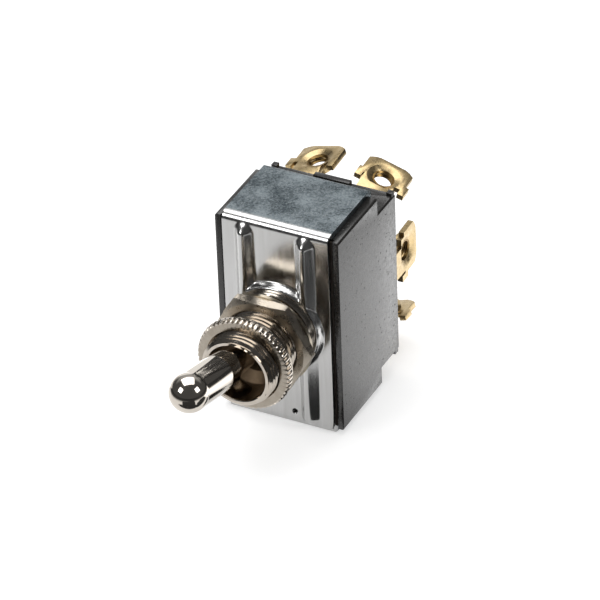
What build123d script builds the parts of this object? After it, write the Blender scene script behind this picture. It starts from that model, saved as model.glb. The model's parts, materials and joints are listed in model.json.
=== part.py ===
from build123d import *
import os
from math import asin, atan, cos, degrees, pi, radians, sin, tan

# Panel toggle switch: a ball-ended lever in a threaded bushing, a folded steel bracket, a moulded
# case with six screw terminals, and the double-pole contact mechanism inside.
# Millimetres. X runs to the right, Y into the depth of the switch, Z up. The origin is the centre
# of the hex nut's front face, where the panel seats, on the axis of the bushing.

# Bushing and its nuts
thread_radius = 5.95
bore_radius = 4.9
bushing_reach = 8.1
bushing_chamfer = 0.27
seat_length_front = 2.8
seat_length_rear = 2.4
seat_cone_length = 1.3
shoulder_radius = 6.6
shoulder_length = 0.7
neck_radius = 5.5
stake_radius = 6.35
stake_length = 0.65
rear_mouth_radius = 4.6
panel_gap = 3.7
ring_nut_radius = 7.9
ring_nut_thickness = 2.0
knurl_teeth = 56
knurl_depth = 0.32
knurl_length = 1.35
ring_nut_band_radius = 7.62
ring_nut_chamfer = 0.2
hex_across_flats = 15.1
hex_thickness = 1.95
hex_chamfer_angle = 20
hex_chamfer_start = 7.35
washer_radius = 7.8
washer_thickness = 0.55
washer_teeth = 10
washer_tooth_length = 0.9
nut_clearance = 0.02

# Folded bracket
plate_setback = 6.2
bracket_side_gap = 0.5
bracket_height = 36.65
sheet = 0.95
bend_radius = 1.3
flange_depth = 14.09
lip_drop = 1.8
boss_height = 1.2
boss_base_radius = 7.9
boss_top_radius = 7.2
boss_wall = 0.8
rib_spacing = 10.0
rib_width = 3.4
rib_crest = 1.6
rib_height = 1.2
rib_length = 34.0
rib_drop = 0.3
dimple_x = 2.31
dimple_z = -15.66
dimple_radius = 0.42
dimple_depth = 0.5

# Moulded case
case_width = 20.94
case_depth = 20.29
rear_height = 29.0
lip_wall = 0.97
lip_setback = 0.6
corner_round = 0.4
side_wall = 1.77
cavity_height = 26.4
divider_thickness = 1.4
divider_gap = 0.9
rim_depth = 1.0
rim_height = 0.6
rim_middle = 6.2
rim_post = 0.9
rim_post_inset = 0.12
insulator_thickness = 0.4
insulator_margin = 0.3
slot_clearance = 0.05

# Lever, drawn along its own axis from the pivot
pivot_depth = 1.0
lever_tilt = 14.5
lever_reach = 24.5
ball_radius = 3.08
shaft_tip_radius = 3.0
shaft_step_at = 15.6
shaft_step = 0.1
shaft_step_length = 0.2
shaft_base_at = 12.3
shaft_base_radius = 2.72
flare_length = 0.7
stem_radius = 2.15
stem_root_radius = 1.9
pivot_ball_radius = 3.3
pivot_clearance = 0.07
pin_radius = 0.8
pin_clearance = 0.05
pin_length = 11.2
tail_radius = 1.7
tail_reach = 11.9

# Actuator and plungers, along the lever's axis behind the pivot
actuator_start = 8.6
actuator_end = 13.2
actuator_side_gap = 0.8
actuator_height = 5.6
actuator_round = 0.5
tail_clearance = 0.03
pole_inset = 4.77
plunger_radius = 1.2
plunger_clearance = 0.07
plunger_back = 11.7
plunger_to_rocker = 1.85
spring_start = 9.6
spring_wire = 0.17
spring_turns = 4
spring_clearance = 0.12

# Rocking contacts
rocker_pivot_depth = 17.6
rocker_tilt = 8.0
rocker_bend = 20.7
rocker_thickness = 1.0
rocker_front_offset = 1.15
rocker_width = 3.6
rocker_reach = 7.3
fulcrum_radius = 0.68
fulcrum_clearance = 0.07
button_at = 6.2
button_radius = 1.2
button_height = 0.75
button_dome = 2.5
contact_gap = 0.08
fixed_button_radius = 1.4
fixed_button_height = 0.6

# Screw terminals
blade = 0.9
blade_neck = 4.8
terminal_hole_reach = 5.7
outer_terminal_z = 12.2
middle_terminal_inset = 1.32
blade_offset = 0.5
middle_blade_offset = 0.8
middle_pad_shift = 0.3
middle_pad_twist = -1.0
middle_pad_pitch = -2.0
pad_pitch = 4.0
twist_start = 0.6
twist_length = 2.8
pad_width = 7.6
pad_near = 0.95
pad_far = 3.5
pad_round_side = 1.6
pad_round_end = 0.8
foot_width = 1.1
foot_length = 1.1
foot_spacing = 7.5
middle_foot_spacing = 6.75
middle_foot_shift = 0.85
screw_hole_radius = 1.75
dish_radius = 2.7
dish_depth = 0.4
collar_radius = 2.45
collar_length = 0.9
inner_strip_width = 3.6
inner_strip_end = 4.7
common_strip_height = 3.2

# Places worked out from the sizes above
plate_front = plate_setback
bracket_width = case_width - 2 * (lip_wall + bracket_side_gap)
plate_back = plate_front + sheet
cavity_width = case_width - 2 * side_wall
actuator_width = cavity_width - 2 * actuator_side_gap
boss_front = plate_front - boss_height
boss_back = boss_front + sheet
flange_end = plate_front + flange_depth
shoulder_height = bracket_height - 2 * sheet
case_front = plate_back + insulator_thickness
case_rear = plate_front + case_depth
side_lip_front = plate_front + lip_setback
plunger_nose = rocker_pivot_depth - plunger_to_rocker
rocker_depth = pivot_depth + rocker_pivot_depth
pole_x = case_width / 2 - pole_inset
middle_terminal_x = case_width / 2 - middle_terminal_inset
sides = {"left": -1, "right": 1}
heights = {"top": 1, "bottom": -1}

# How far each side's pads are twisted and raised where they were bent by hand, and where their feet lie
pad_twist = {-1: 15.0, 1: 17.0}
pad_lift = {-1: 0.7, 1: 0.3}
foot_shift = {-1: -0.5, 1: 0.1}

# The moving contact's dome, at rest, sets where the fixed contacts and the cavity's floor lie
dome_along = rocker_thickness + button_height - button_dome
dome_y = (
    -rocker_front_offset - button_at * sin(radians(rocker_bend)) + dome_along * cos(radians(rocker_bend))
)
dome_z = -button_at * cos(radians(rocker_bend)) - dome_along * sin(radians(rocker_bend))
dome_rest_y = dome_y * cos(radians(rocker_tilt)) - dome_z * sin(radians(rocker_tilt))
contact_z = -dome_y * sin(radians(rocker_tilt)) - dome_z * cos(radians(rocker_tilt))
fixed_face = rocker_depth + dome_rest_y + button_dome + contact_gap
strip_front = fixed_face + fixed_button_height
floor = strip_front + blade


def box(x0, x1, y0, y1, z0, z1):
    """A block between two corners."""
    middle = ((x0 + x1) / 2, (y0 + y1) / 2, (z0 + z1) / 2)
    return Pos(*middle) * Box(x1 - x0, y1 - y0, z1 - z0)


def rod(radius, y0, y1, x=0.0, z=0.0):
    """A cylinder along Y."""
    return Pos(x, (y0 + y1) / 2, z) * Rot(90, 0, 0) * Cylinder(radius, y1 - y0)


def cross_rod(radius, length, y, z=0.0, x=0.0):
    """A cylinder along X."""
    return Pos(x, y, z) * Rot(0, 90, 0) * Cylinder(radius, length)


def turned(points):
    """A solid turned about the Y axis from (radius, y) points."""
    outline = Polyline(*[(r, y) for r, y in points], close=True)
    return revolve(make_face(outline), Axis.Y)


def across(outline, x0, x1):
    """A face drawn in the YZ plane, extruded between two X positions."""
    return extrude(Pos(x0, 0, 0) * (Plane.YZ * outline), amount=x1 - x0)


def with_lever(shape):
    """Turns a piece drawn along Y about the pivot to the lever's rest position."""
    return Pos(0, pivot_depth, 0) * Rot(-lever_tilt, 0, 0) * shape


def bushing():
    """The turned bushing: thread, shoulder on the boss, staked rim, and the lever's ball seat."""
    seat_radius = pivot_ball_radius + pivot_clearance
    seat_front = pivot_depth - seat_length_front
    seat_rear = pivot_depth + seat_length_rear
    outline = [
        (bore_radius, -bushing_reach),
        (thread_radius - bushing_chamfer, -bushing_reach),
        (thread_radius, -bushing_reach + bushing_chamfer),
        (thread_radius, boss_front - shoulder_length),
        (shoulder_radius, boss_front - shoulder_length),
        (shoulder_radius, boss_front),
        (neck_radius, boss_front),
        (neck_radius, boss_back),
        (stake_radius, boss_back),
        (stake_radius, boss_back + stake_length),
        (rear_mouth_radius, boss_back + stake_length),
        (seat_radius, seat_rear),
        (seat_radius, seat_front),
        (bore_radius, seat_front - seat_cone_length),
    ]
    return turned(outline) - cross_rod(pin_radius, pin_length, pivot_depth)


def hex_nut():
    """The panel's back nut, with the corners of both faces turned away."""
    corner = hex_across_flats / 2 / cos(pi / 6)
    prism = extrude(Plane.XZ * RegularPolygon(corner, 6), amount=-hex_thickness)
    drop = (corner - hex_chamfer_start) * tan(radians(hex_chamfer_angle))
    envelope = turned([
        (0, 0),
        (hex_chamfer_start, 0),
        (corner, drop),
        (corner, hex_thickness - drop),
        (hex_chamfer_start, hex_thickness),
        (0, hex_thickness),
    ])
    return (prism & envelope) - rod(thread_radius + nut_clearance, -1, hex_thickness + 1)


def ring_nut():
    """The front nut: a straight knurl round its front part and a plain band behind."""
    back = -panel_gap
    front = back - ring_nut_thickness
    knurl_back = front + knurl_length
    bore = thread_radius + nut_clearance
    blank = turned([
        (bore, front),
        (ring_nut_radius - ring_nut_chamfer, front),
        (ring_nut_radius, front + ring_nut_chamfer),
        (ring_nut_radius, knurl_back - ring_nut_chamfer),
        (ring_nut_band_radius, knurl_back),
        (ring_nut_band_radius, back - ring_nut_chamfer),
        (ring_nut_band_radius - ring_nut_chamfer, back),
        (bore, back),
    ])
    pitch = 2 * pi * ring_nut_radius / knurl_teeth
    groove = Polyline(
        (ring_nut_radius - knurl_depth, 0),
        (ring_nut_radius + knurl_depth, 0.58 * pitch),
        (ring_nut_radius + knurl_depth, -0.58 * pitch),
        close=True,
    )
    cutter = extrude(Plane.XZ * make_face(groove), amount=knurl_length + 1)
    cutter = Pos(0, knurl_back, 0) * cutter
    return blank - [Rot(0, 360 * k / knurl_teeth, 0) * cutter for k in range(knurl_teeth)]


def lock_washer():
    """A washer with teeth round its hole, against the back of the hex nut."""
    y0 = hex_thickness
    y1 = y0 + washer_thickness
    tip = thread_radius + nut_clearance
    ring = rod(washer_radius, y0, y1) - rod(tip, y0 - 1, y1 + 1)
    notch = box(tip - 0.5, tip + washer_tooth_length, y0 - 1, y1 + 1, -0.8, 0.8)
    return ring - [Rot(0, 360 * (k + 0.5) / washer_teeth, 0) * notch for k in range(washer_teeth)]


def rib(offset):
    """One raised rib of the plate, moved back by an offset for its hollow side."""
    slope = degrees(atan((rib_width - rib_crest) / 2 / rib_height))
    outline = Plane.XZ * Rot(0, 0, 90) * SlotOverall(rib_length, rib_width)
    return Pos(0, plate_front + offset, -rib_drop) * extrude(outline, amount=rib_height, taper=slope)


def bracket():
    """The folded steel bracket: plate, top and bottom flanges, and lips over the case's shoulders."""
    half = bracket_height / 2
    inner = half - sheet
    outline = Pos((plate_front + flange_end + sheet) / 2, 0) * Rectangle(
        flange_end + sheet - plate_front, bracket_height
    )
    front_corners = outline.vertices().sort_by(Axis.X)[:2]
    rear_corners = outline.vertices().sort_by(Axis.X)[-2:]
    outline = fillet(front_corners, bend_radius)
    rear_corners = outline.vertices().sort_by(Axis.X)[-2:]
    outline = fillet(rear_corners, sheet)
    hollow = Pos((plate_back + flange_end) / 2, 0) * Rectangle(flange_end - plate_back, 2 * inner)
    hollow = fillet(hollow.vertices().sort_by(Axis.X)[:2], bend_radius - sheet)
    opening = Pos(flange_end, 0) * Rectangle(4 * sheet, 2 * (half - lip_drop))
    body = across(outline - hollow - opening, -bracket_width / 2, bracket_width / 2)
    boss = turned([
        (0, plate_back),
        (boss_base_radius, plate_back),
        (boss_base_radius, plate_front),
        (boss_top_radius, boss_front),
        (0, boss_front),
    ])
    for side in sides.values():
        body += Pos(side * rib_spacing / 2, 0, 0) * rib(0)
    body += boss
    for side in sides.values():
        body -= Pos(side * rib_spacing / 2, 0, 0) * rib(sheet)
    body -= rod(boss_top_radius - boss_wall, boss_back, plate_back + 1)
    body -= rod(neck_radius, boss_front - 1, plate_back + 1)
    body -= rod(dimple_radius, plate_front - 1, plate_front + dimple_depth, dimple_x, dimple_z)
    return body


def insulator_sheet():
    """The fibre sheet between the plate and the case."""
    half_width = case_width / 2 - lip_wall - insulator_margin
    half_height = shoulder_height / 2 - insulator_margin
    sheet_body = box(-half_width, half_width, plate_back, case_front, -half_height, half_height)
    return sheet_body - rod(stake_radius + insulator_margin, plate_back - 1, case_front + 1)


def blade_slot(x, z, wide, high):
    """The slot in the case's rear wall for one blade."""
    half_x = wide / 2 + slot_clearance
    half_z = high / 2 + slot_clearance
    return box(x - half_x, x + half_x, floor - 1, case_rear + 1, z - half_z, z + half_z)


def case():
    """The moulded case: shouldered block, side lips, cavity, divider, blade slots and rear rims."""
    half_width = case_width / 2
    body = box(-half_width, half_width, case_front, flange_end, -shoulder_height / 2, shoulder_height / 2)
    body += box(-half_width, half_width, flange_end - 1, case_rear, -rear_height / 2, rear_height / 2)
    for side in sides.values():
        inner = side * (half_width - lip_wall)
        outer = side * half_width
        low, high = min(inner, outer), max(inner, outer)
        body += box(low, high, side_lip_front, case_front + 1, -shoulder_height / 2, shoulder_height / 2)
    outer_edges = body.edges().filter_by(Axis.Y).filter_by(lambda e: abs(e.center().X) > half_width - 0.01)
    body = fillet(outer_edges, corner_round)
    post_outer = half_width - rim_post_inset
    rim_spans = [
        (-rim_middle / 2, rim_middle / 2),
        (post_outer - rim_post, post_outer),
        (-post_outer, rim_post - post_outer),
    ]
    for up in heights.values():
        z_edge = up * rear_height / 2
        for x0, x1 in rim_spans:
            z0, z1 = sorted((z_edge - up, z_edge + up * rim_height))
            body += box(x0, x1, case_rear - rim_depth, case_rear, z0, z1)
    cavity = box(
        -cavity_width / 2, cavity_width / 2, case_front - 1, floor, -cavity_height / 2, cavity_height / 2
    )
    body -= cavity
    divider_front = pivot_depth + actuator_end + divider_gap
    body += box(
        -divider_thickness / 2,
        divider_thickness / 2,
        divider_front,
        floor + 1,
        -cavity_height / 2 - 0.5,
        cavity_height / 2 + 0.5,
    )
    for side in sides.values():
        for up in heights.values():
            body -= blade_slot(side * pole_x - blade_offset, up * outer_terminal_z, blade_neck, blade)
        middle_z = middle_pad_shift - middle_blade_offset
        body -= blade_slot(side * middle_terminal_x, middle_z, blade, blade_neck)
        pocket_out = middle_terminal_x + blade / 2 + slot_clearance
        pocket = box(
            cavity_width / 2 - 1, pocket_out, floor - blade - slot_clearance - 0.2, floor + 1,
            middle_z - blade_neck / 2 - slot_clearance, middle_z + blade_neck / 2 + slot_clearance,
        )
        body -= pocket if side > 0 else mirror(pocket, Plane.YZ)
    return body


def pad(blade_shift, feet_shift, feet_gap):
    """A terminal's screw pad, flat in XY with its hole at the origin, the outside face up.

    The blade and the two feet beside it lie off the pad's middle, each by a shift of its own."""
    half = pad_width / 2
    outline = Polyline(
        (-half, -pad_near),
        (-half, pad_far - pad_round_end),
        (-half + pad_round_side / 2, pad_far - pad_round_end / 3),
        (-half + pad_round_side, pad_far),
        (half - pad_round_side, pad_far),
        (half - pad_round_side / 2, pad_far - pad_round_end / 3),
        (half, pad_far - pad_round_end),
        (half, -pad_near),
        close=True,
    )
    plate = extrude(make_face(outline), amount=-blade)
    neck_end = twist_start + twist_length - terminal_hole_reach
    neck_length = -pad_near - neck_end
    plate += Pos(blade_shift, neck_end + neck_length / 2, -blade / 2) * Box(blade_neck, neck_length, blade)
    for side in sides.values():
        foot_x = feet_shift + side * feet_gap / 2
        foot_y = -pad_near - foot_length / 2 + 0.5
        plate += Pos(foot_x, foot_y, -blade / 2) * Box(foot_width, foot_length + 1, blade)
    plate += Pos(0, 0, -(blade + collar_length) / 2) * Cylinder(collar_radius, blade + collar_length)
    plate -= Cylinder(screw_hole_radius, 4 * (blade + collar_length))
    dish = Pos(0, 0, -dish_depth / 2) * Cone(screw_hole_radius, dish_radius, dish_depth)
    return plate - dish


def blade_outside(pitch, twist, lift, blade_shift, feet_shift, feet_gap):
    """A pad with its twisted and cranked neck, drawn along Y, from the case's rear face outwards."""
    hole_y = case_rear + terminal_hole_reach
    y0 = case_rear + twist_start
    y1 = y0 + twist_length
    bent = Pos(0, y1, lift) * Rot(pitch, twist, 0) * Pos(0, -y1, 0)
    bent_pad = bent * Pos(0, hole_y, blade / 2) * pad(blade_shift, feet_shift, feet_gap)
    section = Pos(blade_shift, 0) * Rectangle(blade_neck, blade)
    start = Plane(origin=(0, y0, 0), x_dir=(1, 0, 0), z_dir=(0, 1, 0)) * section
    end = bent * (Plane(origin=(0, y1, 0), x_dir=(1, 0, 0), z_dir=(0, 1, 0)) * section)
    return bent_pad + loft([start, end])


def outer_terminal(side, up):
    """A top or bottom terminal: pad, twisted neck, blade through the wall and strip to its contact."""
    low = -blade_offset - blade_neck / 2
    high = -blade_offset + blade_neck / 2
    blade_body = box(low, high, strip_front, case_rear + twist_start, -blade / 2, blade / 2)
    strip = box(
        -inner_strip_width / 2, inner_strip_width / 2, strip_front, floor,
        inner_strip_end - outer_terminal_z, blade / 2,
    )
    outside = blade_outside(
        pad_pitch, side * pad_twist[side], pad_lift[side], -blade_offset, foot_shift[side], foot_spacing
    )
    body = blade_body + strip + outside
    if up < 0:
        body = mirror(body, Plane.XY)
    return Pos(side * pole_x, 0, up * outer_terminal_z) * body


def middle_terminal(side):
    """A common terminal: upright pad and blade, and a strip that carries the rocker's fulcrum."""
    low = middle_blade_offset - blade_neck / 2
    high = middle_blade_offset + blade_neck / 2
    blade_body = box(low, high, strip_front, case_rear + twist_start, -blade / 2, blade / 2)
    outside = blade_outside(
        middle_pad_pitch, middle_pad_twist, 0, middle_blade_offset, middle_foot_shift, middle_foot_spacing
    )
    body = Rot(0, 90, 0) * (blade_body + outside)
    body = Pos(middle_terminal_x, 0, middle_pad_shift) * body
    strip_outer = middle_terminal_x + blade / 2
    strip_inner = pole_x - rocker_width / 2
    half = common_strip_height / 2
    body += box(strip_inner, strip_outer, strip_front, floor, -half, half)
    body += box(
        strip_inner, pole_x + rocker_width / 2, rocker_depth, strip_front + 0.2,
        -fulcrum_radius, fulcrum_radius,
    )
    body += cross_rod(fulcrum_radius, rocker_width, rocker_depth, x=pole_x)
    return body if side > 0 else mirror(body, Plane.YZ)


def fixed_contact(side, up):
    """A contact button riveted to a terminal's inner strip."""
    return rod(fixed_button_radius, fixed_face, strip_front, side * pole_x, up * contact_z)


def at_rocker(shape, side):
    """Places a rocker piece, drawn about its fulcrum, in its rest position."""
    return Pos(side * pole_x, rocker_depth, 0) * Rot(rocker_tilt, 0, 0) * shape


def rocker(side):
    """A bent rocking contact that sits on the common terminal's fulcrum."""
    lean = radians(rocker_bend)
    front = -rocker_front_offset
    back = front + rocker_thickness / cos(lean)
    end_front = (front - rocker_reach * sin(lean), rocker_reach * cos(lean))
    end_back = (
        end_front[0] + rocker_thickness * cos(lean),
        end_front[1] + rocker_thickness * sin(lean),
    )
    outline = Polyline(
        (front, 0), end_front, end_back, (back, 0),
        (end_back[0], -end_back[1]), (end_front[0], -end_front[1]), close=True,
    )
    body = across(make_face(outline), -rocker_width / 2, rocker_width / 2)
    body -= cross_rod(fulcrum_radius + fulcrum_clearance, rocker_width + 1, 0)
    return at_rocker(body, side)


def rocker_contacts(side):
    """The two domed buttons on the back of a rocker's ends."""
    ball_offset = button_height - button_dome
    button = rod(button_radius, 0, button_height) & (Pos(0, ball_offset, 0) * Sphere(button_dome))
    lean = radians(rocker_bend)
    seat_y = -rocker_front_offset - button_at * sin(lean) + rocker_thickness * cos(lean)
    seat_z = button_at * cos(lean) + rocker_thickness * sin(lean)
    upper = Pos(0, seat_y, seat_z) * Rot(rocker_bend, 0, 0) * button
    lower = Pos(0, seat_y, -seat_z) * Rot(-rocker_bend, 0, 0) * button
    return Compound(children=[at_rocker(upper, side), at_rocker(lower, side)])


def toggle_lever():
    """The ball-ended lever, its pivot ball and its tail, in one turned piece."""
    outline = [
        (0, tail_reach),
        (tail_radius, tail_reach),
        (tail_radius, 0),
        (stem_root_radius, 0),
        (stem_root_radius, -pivot_ball_radius),
        (stem_radius, flare_length - shaft_base_at),
        (shaft_base_radius, -shaft_base_at),
        (shaft_tip_radius - shaft_step, -shaft_step_at),
        (shaft_tip_radius, -shaft_step_at - shaft_step_length),
        (shaft_tip_radius, -lever_reach),
        (0, -lever_reach),
    ]
    body = turned(outline) + Sphere(pivot_ball_radius) + Pos(0, -lever_reach, 0) * Sphere(ball_radius)
    body -= cross_rod(pin_radius + pin_clearance, 4 * pivot_ball_radius, 0)
    return with_lever(body)


def actuator():
    """The insulating block on the lever's tail, with a bore for each plunger."""
    block = box(
        -actuator_width / 2, actuator_width / 2, actuator_start, actuator_end,
        -actuator_height / 2, actuator_height / 2,
    )
    block = fillet(block.edges().filter_by(Axis.X), actuator_round)
    block -= rod(tail_radius + tail_clearance, actuator_start - 1, tail_reach + tail_clearance)
    for side in sides.values():
        bore = rod(plunger_radius + plunger_clearance, spring_start, actuator_end + 1, side * pole_x)
        block -= bore
    return with_lever(block)


def plunger(side):
    """A sprung plunger with a round nose that presses on its rocker."""
    body = rod(plunger_radius, plunger_back, plunger_nose - plunger_radius)
    body += Pos(0, plunger_nose - plunger_radius, 0) * Sphere(plunger_radius)
    return with_lever(Pos(side * pole_x, 0, 0) * body)


def plunger_spring(side):
    """The coil spring behind a plunger, seated on the bore's floor."""
    radius = plunger_radius - spring_clearance - spring_wire
    start = spring_start + spring_wire + slot_clearance
    length = plunger_back - spring_start - 2 * (spring_wire + slot_clearance)
    path = Helix(length / spring_turns, length, radius)
    wire = Plane(origin=path @ 0, z_dir=path % 0) * Circle(spring_wire)
    coil = sweep(wire, path=path)
    return with_lever(Pos(side * pole_x, start, 0) * Rot(-90, 0, 0) * coil)


pieces = {
    "bracket": bracket(),
    "case": case(),
    "insulator_sheet": insulator_sheet(),
    "bushing": bushing(),
    "hex_nut": hex_nut(),
    "ring_nut": ring_nut(),
    "lock_washer": lock_washer(),
    "toggle_lever": toggle_lever(),
    "pivot_pin": cross_rod(pin_radius, pin_length, pivot_depth),
    "actuator": actuator(),
}
for side_name, side in sides.items():
    pieces["plunger_" + side_name] = plunger(side)
    pieces["plunger_spring_" + side_name] = plunger_spring(side)
    pieces["rocker_" + side_name] = rocker(side)
    pieces["rocker_contacts_" + side_name] = rocker_contacts(side)
    pieces["terminal_middle_" + side_name] = middle_terminal(side)
    for height_name, up in heights.items():
        pieces["terminal_" + height_name + "_" + side_name] = outer_terminal(side, up)
        pieces["fixed_contact_" + height_name + "_" + side_name] = fixed_contact(side, up)

os.makedirs("parts", exist_ok=True)
for name, shape in pieces.items():
    export_step(shape, "parts/" + name + ".step")
    print(name, round(shape.volume, 2))
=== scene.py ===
# %% [markdown]
# # Panel toggle switch
# A two-pole toggle switch that is fixed in a hole in a panel. Its solid parts come from the packed
# CAD model, which is the fixed frame here. Where the photograph shows more than a plain solid, such
# as a screw thread, a knurl or an embossed sheet, a finer piece is modelled and stands for the CAD
# node. Everything is in metres in the scene, and sizes are written in millimetres.

# %% Load the frame
import json
from math import atan2, cos, hypot, pi, radians, sin, tan

import bmesh
import bpy
from mathutils import Matrix, Quaternion, Vector


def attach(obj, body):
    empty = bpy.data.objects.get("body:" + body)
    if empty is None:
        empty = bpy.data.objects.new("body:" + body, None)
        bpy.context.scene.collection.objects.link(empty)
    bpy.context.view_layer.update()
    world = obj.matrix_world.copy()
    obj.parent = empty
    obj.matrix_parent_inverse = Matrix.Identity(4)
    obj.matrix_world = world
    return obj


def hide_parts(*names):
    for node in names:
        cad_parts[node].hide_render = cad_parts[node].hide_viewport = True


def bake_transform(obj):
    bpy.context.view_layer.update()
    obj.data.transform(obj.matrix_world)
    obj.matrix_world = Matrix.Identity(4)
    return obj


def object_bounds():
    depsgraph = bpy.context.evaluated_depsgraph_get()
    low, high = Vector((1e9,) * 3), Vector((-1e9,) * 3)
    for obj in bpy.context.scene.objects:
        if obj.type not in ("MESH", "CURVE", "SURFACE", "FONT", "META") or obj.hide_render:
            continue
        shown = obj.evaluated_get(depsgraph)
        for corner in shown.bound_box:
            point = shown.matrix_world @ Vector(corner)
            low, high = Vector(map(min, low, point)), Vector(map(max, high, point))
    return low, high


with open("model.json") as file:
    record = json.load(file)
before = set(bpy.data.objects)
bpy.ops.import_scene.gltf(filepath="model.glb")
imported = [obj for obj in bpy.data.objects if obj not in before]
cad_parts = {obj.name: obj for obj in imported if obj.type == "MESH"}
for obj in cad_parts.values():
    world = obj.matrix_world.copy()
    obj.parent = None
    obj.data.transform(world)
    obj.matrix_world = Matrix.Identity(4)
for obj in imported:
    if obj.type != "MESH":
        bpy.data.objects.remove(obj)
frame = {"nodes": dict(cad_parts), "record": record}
cad_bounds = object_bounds()
nodes = frame["nodes"]
MM = 0.001
print("nodes:", len(nodes), "CAD box:", cad_bounds)

# %% [markdown]
# ## The camera
# The camera was matched to the photograph: a long lens, a little above the switch and to its
# right, and rolled by two degrees. A long lens keeps parallel edges nearly parallel, as a product
# photograph does.

# %% Camera
scene = bpy.context.scene
camera_data = bpy.data.cameras.new("camera")
camera_data.sensor_width = 36.0
camera_data.lens = 294.4
camera_data.clip_start = 0.05
camera_data.clip_end = 20.0
camera = bpy.data.objects.new("camera", camera_data)
scene.collection.objects.link(camera)
look = Vector((-0.38416, 0.72851, -0.56718))
roll = radians(-2.234)
camera.rotation_mode = "QUATERNION"
camera.rotation_quaternion = look.to_track_quat("-Z", "Y") @ Quaternion((0, 0, 1), roll)
camera.location = Vector((291.14, -538.43, 429.72)) * MM
scene.camera = camera
scene.view_settings.view_transform = "Standard"
print("camera at", tuple(round(v, 3) for v in camera.location))

# %% [markdown]
# ## Colours and nodes
# Colours are written as on a colour chart, in sRGB hex, and turned to linear light. One function
# adds a node with its settings. A socket is given a value, or the node or output that feeds it.
# Some sockets share a name, so they are given by number: a Map Range node has its value at 0, the
# limits at 1 and 2, and what they become at 3 and 4. A Mix node has its factor at 0, its colours at
# 6 and 7, and plain numbers at 2 and 3.


# %% Colour and node helpers
def linear(code):
    """An sRGB hex colour as linear red, green, blue and alpha."""
    channels = [int(code[i:i + 2], 16) / 255 for i in (0, 2, 4)]
    return [c / 12.92 if c <= 0.04045 else ((c + 0.055) / 1.055) ** 2.4 for c in channels] + [1.0]


def fill(node, sockets):
    """Gives sockets of a node their values, or links them to another node or output."""
    for key, value in sockets.items():
        if isinstance(value, bpy.types.Node):
            value = next(output for output in value.outputs if output.enabled)
        if isinstance(value, bpy.types.NodeSocket):
            node.id_data.links.new(value, node.inputs[key])
        else:
            node.inputs[key].default_value = value


def add(tree, kind, settings=None, sockets=None):
    """Adds one node, with its settings and what goes into its sockets."""
    node = tree.nodes.new(kind)
    for key, value in (settings or {}).items():
        setattr(node, key, value)
    fill(node, sockets or {})
    return node


print("paper white in linear light:", round(linear("E6E6E6")[0], 3))

# %% [markdown]
# ## Where a pattern is drawn
# All patterns read Object coordinates in millimetres, so a scale is simply the number of grains to
# the millimetre. A turned part carries fine rings round its axis. Their pattern sees only how far a
# point is from the Y axis and how deep it lies, so it is the same all the way round.


# %% Start of a material, and rings
def new_material(name, colour, metallic, roughness):
    """A material with a Principled shader, and the place on the piece in millimetres."""
    made = bpy.data.materials.new(name)
    made.use_nodes = True
    tree = made.node_tree
    tree.nodes.clear()
    place = add(tree, "ShaderNodeTexCoord")
    in_mm = add(tree, "ShaderNodeVectorMath", {"operation": "SCALE"},
                {0: place.outputs["Object"], "Scale": 1 / MM})
    shader = add(tree, "ShaderNodeBsdfPrincipled", None,
                 {"Base Color": linear(colour), "Metallic": metallic, "Roughness": roughness})
    add(tree, "ShaderNodeOutputMaterial", None, {"Surface": shader})
    return made, tree, in_mm, shader


def rings_round(tree, where):
    """Coordinates that change only with the distance from the Y axis and along it."""
    flat = add(tree, "ShaderNodeVectorMath", {"operation": "MULTIPLY"}, {0: where, 1: (1, 0, 1)})
    radius = add(tree, "ShaderNodeVectorMath", {"operation": "LENGTH"}, {0: flat})
    split = add(tree, "ShaderNodeSeparateXYZ", None, {"Vector": where})
    return add(tree, "ShaderNodeCombineXYZ", None, {"X": radius, "Y": split.outputs["Y"]})


# %% [markdown]
# ## Nickel plate
# The bushing, the nuts and the lever are turned brass or steel with nickel on top. Nickel is warm
# and bright, and shows the fine rings that the lathe left. The bushing is nearly a mirror. The nuts
# are tumbled before plating, so they look a little satin, and their nickel is painted darker than
# the bushing's: painted shade. The plating hardly reaches down the bore, which stays dull and
# brownish
# and is painted darker still: painted shade of the deep bore. The lever is polished first and is
# the brightest of all, and its nickel is painted a little lighter: painted light.


# %% Nickel
def nickel_on_brass(name, darkest, lightest, smoothest, roughest):
    """Nickel that is clouded between two of its tones, over fine rings."""
    made, tree, mm, shader = new_material(name, lightest, 1.0, smoothest)
    cloud = add(tree, "ShaderNodeTexNoise", None, {"Vector": mm, "Scale": 0.7, "Detail": 3.0})
    fine = add(tree, "ShaderNodeTexNoise", None,
               {"Vector": rings_round(tree, mm), "Scale": 7.0, "Detail": 4.0})
    fill(shader, {
        "Base Color": add(tree, "ShaderNodeMix", {"data_type": "RGBA"},
                          {0: cloud, 6: linear(darkest), 7: linear(lightest)}),
        "Roughness": add(tree, "ShaderNodeMapRange", None,
                         {0: cloud, 1: 0.35, 2: 0.7, 3: smoothest, 4: roughest}),
        "Normal": add(tree, "ShaderNodeBump", None, {"Height": fine, "Distance": 0.0035 * MM}),
    })
    return made


def nickel_in_bore():
    """Thin plating, dull and brownish, over turned grooves. Its tone is darkened as painted shade
    of the deep bore.
    """
    made, tree, mm, shader = new_material("nickel_plate_thin_and_painted_shade_in_the_bore", "7E6A52", 0.6, 0.5)
    cloud = add(tree, "ShaderNodeTexNoise", None, {"Vector": mm, "Scale": 0.5, "Detail": 2.0})
    grooves = add(tree, "ShaderNodeTexNoise", None,
                  {"Vector": rings_round(tree, mm), "Scale": 4.0, "Detail": 3.0})
    fill(shader, {
        "Base Color": add(tree, "ShaderNodeMix", {"data_type": "RGBA"},
                          {0: cloud, 6: linear("54422F"), 7: linear("8A765C")}),
        "Normal": add(tree, "ShaderNodeBump", None, {"Height": grooves, "Distance": 0.01 * MM}),
    })
    return made


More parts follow.
